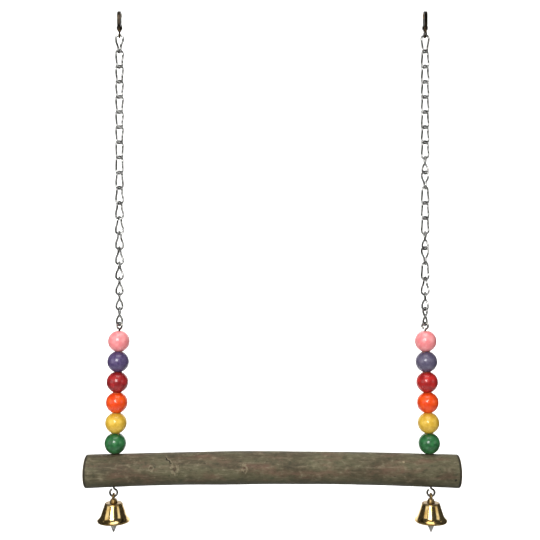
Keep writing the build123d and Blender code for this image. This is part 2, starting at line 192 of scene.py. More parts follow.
class Recipe:
    """A material and the nodes that feed its shader."""

    def __init__(self, name: str) -> None:
        """Starts a material with a plain shader."""
        self.material = bpy.data.materials.new(name)
        self.material.use_nodes = True
        self.tree = self.material.node_tree
        self.shader = self.tree.nodes["Principled BSDF"]

    def feed(self, socket: bpy.types.NodeSocket, value: Value) -> None:
        """Links a term to a socket, or sets a plain value on it."""
        if isinstance(value, Term):
            self.tree.links.new(value.socket, socket)
        else:
            socket.default_value = value

    def node(
        self,
        kind: str,
        settings: Mapping[str, object] | None = None,
        inputs: Mapping[int | str, Value] | None = None,
        output: int | str = 0,
    ) -> Term:
        """Adds a node.

        Args:
            kind: The node's type.
            settings: Its own settings, set before its sockets are fed.
            inputs: Values or links for its sockets, by name or place.
            output: The socket that the returned term reads.

        Returns:
            The chosen output.
        """
        made = self.tree.nodes.new(kind)
        for key, value in (settings or {}).items():
            setattr(made, key, value)
        for key, value in (inputs or {}).items():
            self.feed(made.inputs[key], value)
        return Term(self, made.outputs[output])

    def set(self, **sockets: Value) -> None:
        """Feeds the shader; a socket's name is written with _ for each space."""
        for name, value in sockets.items():
            self.feed(self.shader.inputs[name.replace("_", " ")], value)

    def place(self) -> Term:
        """Point on the piece in its own frame, in metres."""
        return self.node("ShaderNodeTexCoord", output="Object")

    def scaled(self, point: Term, by: Sequence[float]) -> Term:
        """Point with each direction stretched by its own factor."""
        return self.node("ShaderNodeVectorMath", {"operation": "MULTIPLY"}, {0: point, 1: by})

    def moved(self, point: Term, by: Sequence[float]) -> Term:
        """Point shifted by a fixed step."""
        return self.node("ShaderNodeVectorMath", {"operation": "ADD"}, {0: point, 1: by})

    def length(self, point: Term) -> Term:
        """Distance of a point from the piece's own origin."""
        return self.node("ShaderNodeVectorMath", {"operation": "LENGTH"}, {0: point}, "Value")

    def along(self, point: Term, direction: Sequence[float]) -> Term:
        """How far a point lies along a unit direction from the piece's own origin."""
        settings = {"operation": "DOT_PRODUCT"}
        return self.node("ShaderNodeVectorMath", settings, {0: point, 1: direction}, "Value")

    def axis(self, point: Term, name: str) -> Term:
        """One coordinate of a point."""
        return self.node("ShaderNodeSeparateXYZ", None, {0: point}, name)

    def cloud(self, point: Term, scale: float, detail: float = 3.0, rough: float = 0.55) -> Term:
        """Soft random value about a half, with patches of one part in scale of a metre."""
        inputs = {"Vector": point, "Scale": scale, "Detail": detail, "Roughness": rough}
        return self.node("ShaderNodeTexNoise", None, inputs)

    def specks(self, point: Term, scale: float) -> Term:
        """Distance to the nearest of many scattered points, in cells."""
        return self.node("ShaderNodeTexVoronoi", None, {"Vector": point, "Scale": scale})

    def grain(self, point: Term, stretch: Sequence[float], detail: float, rough: float = 0.55) -> Term:
        """Soft random value about a half, with its own scale in each direction."""
        return self.cloud(self.scaled(point, stretch), 1.0, detail, rough)

    def mix(self, factor: Term | float, first: Value, second: Value) -> Term:
        """Colour between two colours."""
        settings = {"data_type": "RGBA", "clamp_factor": True}
        return self.node("ShaderNodeMix", settings, {0: factor, 6: first, 7: second}, 2)

    def layered(self, base: Term, *tints: tuple[Term, Value]) -> Term:
        """Colour with tints laid over it in order, each as far as its mask says."""
        for mask, tint in tints:
            base = self.mix(mask, base, tint)
        return base

    def bump(self, height: Term, depth: float, strength: float = 1.0) -> Term:
        """Normal of a surface raised by a height of 0 to 1 times a depth in metres."""
        inputs = {"Strength": strength, "Distance": depth, "Height": height}
        return self.node("ShaderNodeBump", None, inputs)


@dataclass(frozen=True)
class BranchWood:
    """Dry weathered branch: grey-brown with olive and reddish patches, grain and a few marks, and painted
    shade on its underside and near its end edges.
    """

    half_length: float
    axis_height: float
    bow: float
    end_round: float
    pale: Colour = paint(144, 132, 106)
    olive: Colour = paint(96, 92, 68)
    brown: Colour = paint(78, 69, 50)
    # moss colour, also used for the painted shade on the underside
    rust: Colour = paint(114, 86, 70)
    moss: Colour = paint(52, 52, 32)
    # crack colour, also used for the painted shadow along the foot and the painted shade near the end
    # edges
    crack: Colour = paint(36, 31, 22)
    end_light: Colour = paint(158, 142, 112)
    end_dark: Colour = paint(108, 90, 64)
    ring_step: float = 1.3 * MM
    pale_dot: Triple = (119.5 * MM, -11.5 * MM, -409.1 * MM)
    dot_size: float = 1.5 * MM
    dark_pit: Triple = (166.6 * MM, -14.1 * MM, -425.3 * MM)
    pit_size: float = 1.7 * MM
    split: Triple = (-95.1 * MM, -11.1 * MM, -408.0 * MM)
    split_slant: float = 35.0
    split_reach: float = 4.8 * MM
    split_width: float = 0.7 * MM
    knots: tuple[Triple, ...] = (
        (-88.8 * MM, -14.7 * MM, -415.0 * MM),
        (-110.0 * MM, -14.4 * MM, -414.4 * MM),
        (-25.5 * MM, -14.7 * MM, -414.2 * MM),
    )
    knot_sizes: tuple[float, ...] = (4.6 * MM, 3.0 * MM, 3.4 * MM)
    knot_stretch: Triple = (1.3, 1.0, 1.0)
    patch_grain: Triple = (26.0, 58.0, 58.0)
    red_grain: Triple = (34.0, 90.0, 90.0)
    red_shift: Triple = (0.37, 0.2, 0.1)
    streak_grain: Triple = (60.0, 480.0, 480.0)
    fibre_grain: Triple = (150.0, 1700.0, 1700.0)
    mottle_grain: Triple = (170.0, 270.0, 270.0)
    pore_grain: Triple = (90.0, 330.0, 330.0)
    relief: float = 0.6 * MM

    def material(self) -> bpy.types.Material:
        """Builds the wood.

        Returns:
            The material.
        """
        wood = Recipe("weathered_branch")
        point = wood.place()
        patches = wood.grain(point, self.patch_grain, 5.0, 0.6)
        reds = wood.grain(wood.moved(point, self.red_shift), self.red_grain, 5.0, 0.6)
        streaks = wood.grain(point, self.streak_grain, 5.0, 0.65)
        fibres = wood.grain(point, self.fibre_grain, 4.0, 0.7)
        mottle = wood.grain(point, self.mottle_grain, 5.0, 0.6)
        holes = wood.specks(wood.scaled(point, self.pore_grain), 1.0)
        pores = holes.between(0.16, 0.06) * mottle.between(0.45, 0.6)
        # painted shade on the lower side and a painted shadow line along the foot
        painted_underside_shade, painted_foot_shadow = self._underside(wood, point)
        dot = self._spot(wood, point, self.pale_dot, self.dot_size)
        pit = self._spot(wood, point, self.dark_pit, self.pit_size)
        split, edge = self._split_mark(wood, point)
        heart, swelling = self._bud_scars(wood, point)
        # rim is painted shade in a band near each end's rounded edge
        end, rim, rings, checks = self._end_grain(wood, point)
        end_colour = wood.layered(
            wood.mix(rings, self.end_light, self.end_dark),
            (mottle.between(0.45, 0.75) * 0.4, self.olive),
            (checks, self.crack),
        )
        colour = wood.layered(
            wood.mix(patches.between(0.4, 0.6), self.brown, self.olive),
            (reds.between(0.48, 0.7) * 0.7, self.rust),
            (streaks.between(0.52, 0.74) * 0.5, self.pale),
            (streaks.between(0.47, 0.28) * 0.6, self.brown),
            (mottle.between(0.51, 0.72) * 0.5, self.pale),
            (mottle.between(0.48, 0.3) * 0.6, self.moss),
            (fibres.between(0.46, 0.3) * 0.6, self.crack),
            (fibres.between(0.56, 0.72) * 0.4, self.pale),
            # painted shade and painted shadow on the underside
            (painted_underside_shade * 0.9, self.moss),
            (painted_foot_shadow * 0.95, self.crack),
            (pores * 0.8, self.crack),
            (heart * 0.6, self.rust),
            (heart * 0.5, self.crack),
            ((edge * 0.5).most(swelling * 0.7), self.pale),
            (dot, self.end_light),
            (pit.most(split * 0.95), self.crack),
            # painted shade near the end edges
            (rim * 0.9, self.crack),
            (end, end_colour),
        )
        raised = streaks * 0.45 + fibres * 0.25 + mottle * 0.5
        scars = swelling * 0.6 - heart * 0.5
        height = raised + scars - pores * 0.6 - pit * 1.4 - split - checks * end
        wood.set(
            Base_Color=colour,
            Roughness=0.62 + mottle * 0.22 - streaks * 0.08,
            Specular_IOR_Level=0.3,
            Normal=wood.bump(height, self.relief, 0.85),
        )
        return wood.material

    def _split_mark(self, wood: Recipe, point: Term) -> tuple[Term, Term]:
        """Short slanting split in the wood: its dark line, and the pale lip beside it."""
        away = wood.moved(point, [-step for step in self.split])
        slant = math.radians(self.split_slant)
        wander = (wood.cloud(point, 420.0, 2.0) - 0.5) * (5.0 * self.split_width)
        across = wood.along(away, (math.sin(slant), 0.0, math.cos(slant))) + wander
        reach = abs(wood.along(away, (math.cos(slant), 0.0, -math.sin(slant))))
        front = wood.axis(point, "Y").between(0.0, -6.0 * MM)
        near = reach.between(self.split_reach, 0.4 * self.split_reach) * front
        line = abs(across).between(self.split_width, 0.3 * self.split_width)
        lip = abs(across - 1.6 * self.split_width).between(1.3 * self.split_width, 0.4 * self.split_width)
        return line * near, lip * near

    def _bud_scars(self, wood: Recipe, point: Term) -> tuple[Term, Term]:
        """Scars where small twigs grew: their dark hearts, and the pale swellings round them."""
        ragged = wood.cloud(point, 420.0, 3.0, 0.6) * 2.4 - 0.75
        broken = wood.cloud(wood.moved(point, (0.3, 0.0, 0.2)), 330.0, 3.0).between(0.38, 0.52)
        spreads: list[Term] = []
        for place, size in zip(self.knots, self.knot_sizes):
            away = wood.moved(point, [-step for step in place])
            shrunk = wood.scaled(away, [share / size for share in self.knot_stretch])
            spreads.append(wood.length(shrunk) + ragged)
        hearts = [spread.between(1.0, 0.5) for spread in spreads]
        swellings = [abs(spread - 1.3).between(0.5, 0.1) * broken for spread in spreads]
        return reduce(Term.most, hearts), reduce(Term.most, swellings)

    def _underside(self, wood: Recipe, point: Term) -> tuple[Term, Term]:
        """Painted shade on the lower side of the branch, 0 on its upper half, and a painted shadow line
        along its foot.
        """
        drop = self.axis_height + self._sag(wood, point) - wood.axis(point, "Z")
        return drop.between(2.0 * MM, 14.0 * MM), drop.between(12.5 * MM, 13.6 * MM)

    def _sag(self, wood: Recipe, point: Term) -> Term:
        """How far the arched axis stands above its ends at a point."""
        along = wood.axis(point, "X") * (1.0 / self.half_length)
        return (1.0 - along * along) * self.bow

    def _spot(self, wood: Recipe, point: Term, at: Sequence[float], size: float) -> Term:
        """Round mark of a size about a place on the surface, 1 inside and 0 outside."""
        away = wood.length(wood.moved(point, [-step for step in at]))
        ragged = wood.cloud(point, 900.0, 2.0) * (0.9 * size)
        return (away + ragged).between(1.45 * size, 0.75 * size)

    def _end_grain(self, wood: Recipe, point: Term) -> tuple[Term, Term, Term, Term]:
        """End faces: where they are, painted shade in a band near their rounded edges, their growth rings
        and their drying cracks.
        """
        depth = self.half_length - abs(wood.axis(point, "X"))
        end = depth.between(0.75 * self.end_round, 0.3 * self.end_round)
        # painted shade: a dark band on the bark just inside each end's rounded edge
        rim = depth.between(2.6 * self.end_round, 1.5 * self.end_round)
        pith = (0.0, 1.2 * MM, -self.axis_height - 1.5 * MM)
        across = wood.moved(wood.scaled(point, (0.0, 1.0, 1.0)), pith)
        radius = wood.length(across) + wood.cloud(point, 120.0) * (1.6 * MM)
        rings = (radius * (math.tau / self.ring_step)).sine() * 0.5 + 0.5
        facing = wood.node("ShaderNodeVectorMath", {"operation": "NORMALIZE"}, {0: across})
        split = wood.cloud(wood.moved(facing, (3.0, 0.0, 0.0)), 4.5, 2.0).between(0.63, 0.7)
        heart = radius.between(2.4 * MM, 1.2 * MM)
        checks = (split * radius.between(2.0 * MM, 9.0 * MM)).most(heart * 0.8)
        return end, rim, rings * 0.75, checks


@dataclass(frozen=True)
class BeadLacquer:
    """Glossy lacquer on a turned wooden bead, thinner at the mouths and rubbed there."""

    name: str
    colour: Colour
    deep: Colour
    half_height: float
    bare_wood: Colour = paint(196, 160, 112)
    wood_grain: Triple = (560.0, 560.0, 70.0)
    relief: float = 0.09 * MM

    def material(self) -> bpy.types.Material:
        """Builds the lacquer.

        Returns:
            The material.
        """
        coat = Recipe(f"{self.name}_lacquer")
        point = coat.place()
        mottle = coat.cloud(point, 190.0, 4.0, 0.6)
        grain = coat.grain(point, self.wood_grain, 4.0, 0.6)
        peel = coat.cloud(point, 850.0, 2.0)
        rise = abs(coat.axis(point, "Z"))
        rubbed = rise.between(0.9 * self.half_height, 0.98 * self.half_height) * peel.between(0.56, 0.64)
        nick = coat.cloud(point, 330.0, 3.0).between(0.735, 0.76)
        worn = rubbed.most(nick * 0.8)
        colour = coat.layered(
            coat.mix(mottle.between(0.34, 0.68), self.deep, self.colour),
            (grain.between(0.46, 0.28) * 0.4, self.deep),
            (rise.between(0.72 * self.half_height, self.half_height) * 0.75, self.deep),
            (worn, self.bare_wood),
        )
        coat.set(
            Base_Color=colour,
            Roughness=0.32 + mottle * 0.14 + worn * 0.3,
            Coat_Weight=0.55 - worn * 0.5,
            Coat_Roughness=0.09,
            Specular_IOR_Level=0.3,
            Normal=coat.bump(peel * 0.5 + grain * 0.4 - worn * 0.8, self.relief, 0.6),
        )
        return coat.material


@dataclass(frozen=True)
class PlatedWire:
    """Bright plated steel, dulled in patches and marked along its length by drawing."""

    name: str
    bright: Colour
    dull: Colour
    smooth: float = 0.16
    drawing: Triple = (900.0, 900.0, 160.0)
    stain_shift: Triple = (0.2, 0.1, 0.4)
    relief: float = 0.05 * MM

    def material(self) -> bpy.types.Material:
        """Builds the metal.

        Returns:
            The material.
        """
        metal = Recipe(self.name)
        point = metal.place()
        haze = metal.cloud(point, 170.0, 4.0, 0.6)
        drawn = metal.grain(point, self.drawing, 3.0)
        stain = metal.cloud(metal.moved(point, self.stain_shift), 420.0, 3.0).between(0.58, 0.72)
        colour = metal.mix(haze.between(0.4, 0.66), self.bright, self.dull)
        colour = metal.mix(stain * 0.6, colour, self.dull)
        metal.set(
            Base_Color=colour,
            Metallic=1.0,
            Roughness=self.smooth + haze * 0.16 + stain * 0.18,
            Normal=metal.bump(drawn, self.relief, 0.5),
        )
        return metal.material


@dataclass(frozen=True)
class HookPlating:
    """Dark plating over brass, rubbed through where the bar and the wire bear."""

    bowl: float
    dark: Colour = paint(46, 39, 31)
    deep: Colour = paint(16, 14, 12)
    brass: Colour = paint(150, 116, 66)
    scuff_grain: Triple = (700.0, 700.0, 260.0)
    rub_depths: tuple[float, float] = (0.45 * MM, 0.1 * MM)
    eye_bowls: tuple[float, float] = (4.2, 4.9)
    relief: float = 0.05 * MM

    def material(self) -> bpy.types.Material:
        """Builds the plating.

        Returns:
            The material.
        """
        plate = Recipe("dark_hook_plating")
        point = plate.place()
        haze = plate.cloud(point, 260.0, 4.0, 0.6)
        scuffs = plate.grain(point, self.scuff_grain, 4.0, 0.65)
        from_bar = plate.length(plate.scaled(point, (0.0, 1.0, 1.0)))
        bearing = from_bar.between(*(self.bowl + depth for depth in self.rub_depths))
        below = plate.axis(point, "Z").between(*(-self.bowl * bowls for bowls in self.eye_bowls))
        rubbed = bearing * scuffs.between(0.34, 0.5)
        scraped = scuffs.between(0.64, 0.76) * 0.5
        worn = rubbed.most(scraped).most(below * scuffs.between(0.5, 0.66) * 0.7)
        colour = plate.mix(haze.between(0.38, 0.64), self.dark, self.deep)
        colour = plate.mix(worn, colour, self.brass)
        plate.set(
            Base_Color=colour,
            Metallic=1.0,
            Roughness=0.27 + haze * 0.2 + worn * 0.08,
            Normal=plate.bump(scuffs * 0.5 - worn * 0.6, self.relief, 0.6),
        )
        return plate.material


@dataclass(frozen=True)
class BellBrass:
    """Polished brass with turning lines, browned at the shoulder, inside and under the lip."""

    crown: float
    lip: float
    bright: Colour = paint(210, 184, 128)
    warm: Colour = paint(180, 144, 78)
    brown: Colour = paint(84, 58, 28)
    turning: Triple = (30.0, 30.0, 5200.0)
    relief: float = 0.03 * MM

    def material(self) -> bpy.types.Material:
        """Builds the brass.

        Returns:
            The material.
        """
        brass = Recipe("polished_brass")
        point = brass.place()
        height = brass.axis(point, "Z")
        haze = brass.cloud(point, 150.0, 5.0, 0.62)
        turned = brass.grain(point, self.turning, 2.0)
        spots = brass.specks(point, 380.0).between(0.2, 0.08) * haze.between(0.5, 0.62)
        shoulder = height.between(self.crown - 2.6 * MM, self.crown - 0.4 * MM)
        rim = height.between(self.lip + 2.4 * MM, self.lip + 0.6 * MM)
        colour = brass.layered(
            brass.mix(haze.between(0.38, 0.7), self.bright, self.warm),
            *((mask, self.brown) for mask in (shoulder * 0.65, rim * haze * 0.6, spots * 0.7)),
        )
        brass.set(
            Base_Color=colour,
            Metallic=1.0,
            Roughness=0.1 + haze * 0.14 + shoulder * 0.2 + spots * 0.25,
            Normal=brass.bump(turned - spots * 0.5, self.relief, 0.5),
        )
        return brass.material


def arc(
    center: Vector, first: Vector, second: Vector, radius: float, span: tuple[float, float], steps: int
) -> list[Vector]:
    """Points on an arc in the plane of two unit directions.

    Args:
        center: Middle of the arc's circle.
        first: Direction of angle 0.
        second: Direction of angle 90.
        radius: Radius of the circle.
        span: First and last angle.
        steps: How many steps the arc is cut into.

    Returns:
        One point more than there are steps.
    """
    points = []
    for step in range(steps + 1):
        angle = math.radians(span[0] + (span[1] - span[0]) * step / steps)
        points.append(center + first * (radius * math.cos(angle)) + second * (radius * math.sin(angle)))
    return points


def tangent_arc(start: Vector, heading: Vector, end: Vector, steps: int) -> list[Vector]:
    """Points on the arc that leaves a point along a heading and ends at another point, in the XZ plane.

    Args:
        start: First point.
        heading: Direction of travel at the first point.
        end: Last point.
        steps: How many steps the arc is cut into.

    Returns:
        One point more than there are steps.
    """
    chord = end - start
    side = Vector((heading.z, 0.0, -heading.x)).normalized()
    radius = chord.length_squared / (2.0 * chord.dot(side))
    center = start + side * radius
    turn = 2.0 * math.asin(chord.length / (2.0 * radius))
    spins = [Matrix.Rotation(turn * step / steps, 3, "Y") for step in range(steps + 1)]
    return [center + spin @ (start - center) for spin in spins]


def level(yaw: float) -> Vector:
    """Horizontal unit direction at an angle from X."""
    return Vector((math.cos(math.radians(yaw)), math.sin(math.radians(yaw)), 0.0))


def joined(*runs: Sequence[Vector]) -> list[Vector]:
    """One path from runs of points, without the points that two runs share."""
    path: list[Vector] = []
    for run in runs:
        for point in run:
            if not path or (point - path[-1]).length > SAME_POINT:
                path.append(point)
    return path


@dataclass
class Shell:
    """Points and faces of a mesh in the making."""

    points: list[Vector] = field(default_factory=list)
    faces: list[tuple[int, ...]] = field(default_factory=list)

    def add(self, points: Sequence[Vector], faces: Sequence[tuple[int, ...]]) -> None:
        """Adds points, and faces that count from the first of them."""
        first = len(self.points)
        self.points.extend(points)
        self.faces.extend(tuple(first + corner for corner in face) for face in faces)

    def tube(self, path: Sequence[Vector], radius: float, sides: int) -> None:
        """Adds a round wire along a path, with slightly eased ends.

        Args:
            path: Points along the middle of the wire.
            radius: Radius of the wire.
            sides: Sides of its section.
        """
        ease = WIRE_EASE * radius
        before = [path[0], *path[:-1]]
        after = [*path[1:], path[-1]]
        headings = [(end - start).normalized() for start, end in zip(before, after)]
        across = headings[0].orthogonal().normalized()
        rings: list[list[Vector]] = []
        for place, heading in zip(path, headings):
            across = (across - heading * across.dot(heading)).normalized()
            rings.append(self._ring(place, heading, across, radius, sides))
        first = self._square(headings[0], rings[0], path[0])
        start = self._ring(path[0] - headings[0] * ease, headings[0], first, radius - ease, sides)
        end = self._ring(path[-1] + headings[-1] * ease, headings[-1], across, radius - ease, sides)
        self.skin([start, *rings, end], True)

    def _square(self, heading: Vector, ring: Sequence[Vector], middle: Vector) -> Vector:
        """Direction from the middle of a ring to its first point, square to a heading."""
        out = ring[0] - middle
        return (out - heading * out.dot(heading)).normalized()

    def _ring(
        self, middle: Vector, heading: Vector, across: Vector, radius: float, sides: int
    ) -> list[Vector]:
        """Points of one section of a wire."""
        other = heading.cross(across)
        turns = [math.tau * side / sides for side in range(sides)]
        return [middle + across * (radius * math.cos(a)) + other * (radius * math.sin(a)) for a in turns]

    def skin(self, rings: Sequence[Sequence[Vector]], capped: bool) -> None:
        """Adds a skin over closed rings of equal counts.

        Args:
            rings: Rings in order.
            capped: Whether the first and last ring are closed by a face.
        """
        count = len(rings[0])
        faces: list[tuple[int, ...]] = []
        for low in range(len(rings) - 1):
            for side in range(count):
                after = (side + 1) % count
                a, b = low * count, (low + 1) * count
                faces.append((a + side, a + after, b + after, b + side))
        if capped:
            last = (len(rings) - 1) * count
            faces.append(tuple(reversed(range(count))))
            faces.append(tuple(range(last, last + count)))
        self.add([point for ring in rings for point in ring], faces)

    def turned(self, outline: Sequence[Vector], segments: int, closed: bool) -> None:
        """Adds a full turn about Z of an outline in the XZ plane.

        Args:
            outline: Points of the outline; one on the axis makes a tip.
            segments: How many segments make the turn.
            closed: Whether the outline's last point joins its first.
        """
        points: list[Vector] = []
        rows: list[list[int]] = []
        for spot in outline:
            if spot.x < ON_AXIS:
                rows.append([len(points)] * segments)
                points.append(spot)
                continue
            rows.append(list(range(len(points), len(points) + segments)))
            for segment in range(segments):
                out = level(FULL_TURN * segment / segments) * spot.x
                points.append(out + UP * spot.z)
        faces: list[tuple[int, ...]] = []
        pairs = list(zip(rows, rows[1:])) + ([(rows[-1], rows[0])] if closed else [])
        for low, high in pairs:
            for segment in range(segments):
                after = (segment + 1) % segments
                corners = (low[segment], low[after], high[after], high[segment])
                faces.append(tuple(dict.fromkeys(corners)))
        self.add(points, faces)

    def piece(
        self, name: str, material: bpy.types.Material, placing: Matrix | None = None
    ) -> bpy.types.Object:
        """Makes the mesh into a smooth-shaded object.

        Args:
            name: The object's name.
            material: Its material.
            placing: Where it sits; at the frame's origin if not given.

        Returns:
            The object.
        """
        mesh = bpy.data.meshes.new(name)
        mesh.from_pydata(self.points, [], self.faces)
        mesh.validate()
        mesh.shade_smooth()
        mesh.set_sharp_from_angle(angle=SHARP_EDGE)
        mesh.materials.append(material)
        made = bpy.data.objects.new(name, mesh)
        made.matrix_world = placing or Matrix.Identity(4)
        bpy.context.collection.objects.link(made)
        return made


def mount(piece: bpy.types.Object, body: str, node: str) -> None:
    """Lets a piece stand for a node of the construction model and move with its body.

    Args:
        piece: The new piece.
        body: The body that carries it.
        node: The node that it stands for.
    """
    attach(piece, body)
    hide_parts(node)
    LOG.info("%s stands for %s on %s", piece.name, node, body)


@dataclass
class Hanging:
    """Where the chains, rods and bells of the two sides hang."""

    hang_x: float = 141.3356 * MM
    hole_x: float = 146.0 * MM
    hole_z: float = -419.5197 * MM
    rod_lean: float = 2.0

    def rod_frame(self, side: Side) -> Matrix:
        """Frame of a rod: its origin in the middle of its hole, Z along the stem."""
        spot = Matrix.Translation((side.value * self.hole_x, 0.0, self.hole_z))
        return spot @ Matrix.Rotation(math.radians(-side.value * self.rod_lean), 4, "Y")


@dataclass
class Perch:
    """The bowed branch across the foot of the swing."""

    length: float = 345.0 * MM
    radius: float = 15.0 * MM
    bow: float = 3.5 * MM
    end_round: float = 1.2 * MM
    axis_z: float = -417.0127 * MM
    swell_stations: tuple[float, ...] = (-1.0, -0.846, -0.55, -0.22, 0.08, 0.42, 0.846, 1.0)
    swell_shares: tuple[float, ...] = (1.012, 1.0, 0.985, 1.012, 0.988, 0.982, 1.0, 1.012)
    rings: int = 260
    sides: int = 96
    end_rings: int = 7
    face_shares: tuple[float, ...] = (0.02, 0.3, 0.6, 0.85)
    roughness: float = 0.16 * MM
    coarse_lumps: Triple = (28.0, 90.0, 90.0)
    fine_lumps: Triple = (140.0, 420.0, 420.0)
    fine_share: float = 0.45

    def build(self) -> None:
        """Builds the branch and dresses it."""
        shell = Shell()
        shell.skin(self._rings(), True)
        half = self.length / 2.0
        wood = BranchWood(half, self._middle(half).z, self.bow, self.end_round)
        mount(shell.piece("branch", wood.material()), "perch", "perch")

    def _middle(self, x: float) -> Vector:
        """Point on the branch's arched axis."""
        curve = (self.length / 2.0) ** 2 / (2.0 * self.bow) + self.bow / 2.0
        return Vector((x, 0.0, self.axis_z - curve + math.sqrt(curve**2 - x**2)))

    def _swell(self, share: float) -> float:
        """Thickness of the branch at a share of its half length, as a share of its mean."""
        for low in range(len(self.swell_stations) - 1):
            start, end = self.swell_stations[low], self.swell_stations[low + 1]
            if share <= end:
                part = (share - start) / (end - start)
                ease = part * part * (3.0 - 2.0 * part)
                here, there = self.swell_shares[low : low + 2]
                return here + (there - here) * ease
        return self.swell_shares[-1]

    def _rings(self) -> list[list[Vector]]:
        """Sections of the branch from one end face to the other."""
        half = self.length / 2.0
        body_half = half - self.end_round
        places = [-body_half + 2.0 * body_half * place / self.rings for place in range(self.rings + 1)]
        body = [self._section(x, self.radius * self._swell(x / half)) for x in places]
        return [*self._end(-1.0), *body, *reversed(self._end(1.0))]

    def _end(self, sign: float) -> list[list[Vector]]:
        """Sections of one end, from the middle of its face out over the rounded edge."""
        half = self.length / 2.0
        inner = self.radius * self._swell(sign) - self.end_round
        sections = [self._section(sign * half, inner * share) for share in self.face_shares]
        for step in range(self.end_rings, 0, -1):
            angle = math.radians(90.0 * step / self.end_rings)
            reach = half - self.end_round + self.end_round * math.sin(angle)
            sections.append(self._section(sign * reach, inner + self.end_round * math.cos(angle)))
        return sections

    def _section(self, x: float, radius: float) -> list[Vector]:
        """One ring of the branch, a little uneven as a hand-peeled stem is."""
        middle = self._middle(x)
        points = []
        for side in range(self.sides):
            angle = math.tau * side / self.sides
            out = Vector((0.0, -math.cos(angle), math.sin(angle)))
            spot = middle + out * radius
            coarse = noise.noise(spot * Vector(self.coarse_lumps))
            fine = noise.noise(spot * Vector(self.fine_lumps))
            uneven = self.roughness * (coarse + self.fine_share * fine) * min(1.0, radius / self.radius)
            points.append(spot + out * uneven)
        return points


@dataclass
class BeadStack:
    """The lacquered beads on the two hangers."""

    hanging: Hanging
    radius: float = 10.0 * MM
    height: float = 18.75 * MM
    bore: float = 2.2 * MM
    edge_round: float = 0.6 * MM
    gap: float = 0.15 * MM
    foot: float = 15.5 * MM
    turn_step: float = 67.0
    segments: int = 72
    steps: int = 30
    edge_steps: int = 5
    finishes: Mapping[str, tuple[Colour, Colour]] = field(
        default_factory=lambda: {
            "pink": (paint(255, 168, 168), paint(246, 136, 140)),
            "violet": (paint(100, 86, 126), paint(72, 58, 100)),
            "red": (paint(182, 40, 42), paint(132, 22, 26)),
            "orange": (paint(255, 92, 24), paint(234, 66, 12)),
            "yellow": (paint(242, 202, 80), paint(214, 170, 50)),
            "green": (paint(54, 124, 70), paint(32, 90, 48)),
        }
    )
    odd_ones: Mapping[tuple[Side, str], tuple[Colour, Colour]] = field(
        default_factory=lambda: {
            (Side.RIGHT, "violet"): (paint(110, 104, 126), paint(84, 78, 104)),
            (Side.RIGHT, "red"): (paint(206, 42, 38), paint(158, 26, 26)),
        }
    )

    def build(self) -> None:
        """Builds the beads of both sides and dresses them."""
        outline = self._outline()
        for place, (name, usual) in enumerate(reversed(self.finishes.items())):
            rise = self.foot + self.gap / 2.0 + self.height / 2.0 + (self.height + self.gap) * place
            for side in Side:
                node = f"{side.word}_{name}_bead"
                colour, deep = self.odd_ones.get((side, name), usual)
                finish = BeadLacquer(f"{side.word}_{name}", colour, deep, self.height / 2.0).material()
                shell = Shell()
                shell.turned(outline, self.segments, True)
                turned = Matrix.Rotation(math.radians(self.turn_step * place * side.value), 4, "Z")
                placing = self.hanging.rod_frame(side) @ Matrix.Translation((0.0, 0.0, rise)) @ turned
                made = shell.piece(f"{side.word}_{name}_lacquered_bead", finish, placing)
                mount(made, node, node)

    def _outline(self) -> list[Vector]:
        """Outline of a bead: a ball with flat ends, rounded mouths and a bore."""
        end = self.height / 2.0
        flat = math.sqrt(self.radius**2 - end**2)
        tilt = math.degrees(math.atan2(end, flat))
        ball = arc(Vector(), OUT, UP, self.radius, (-tilt, tilt), self.steps)
        ease = self.edge_round
        mouth = OUT * (self.bore + ease)
        turn = UP * (end - ease)
        top = arc(mouth + turn, UP, -OUT, ease, (0.0, 90.0), self.edge_steps)
        low = arc(mouth - turn, -OUT, -UP, ease, (0.0, 90.0), self.edge_steps)
        return joined(ball, top, low)


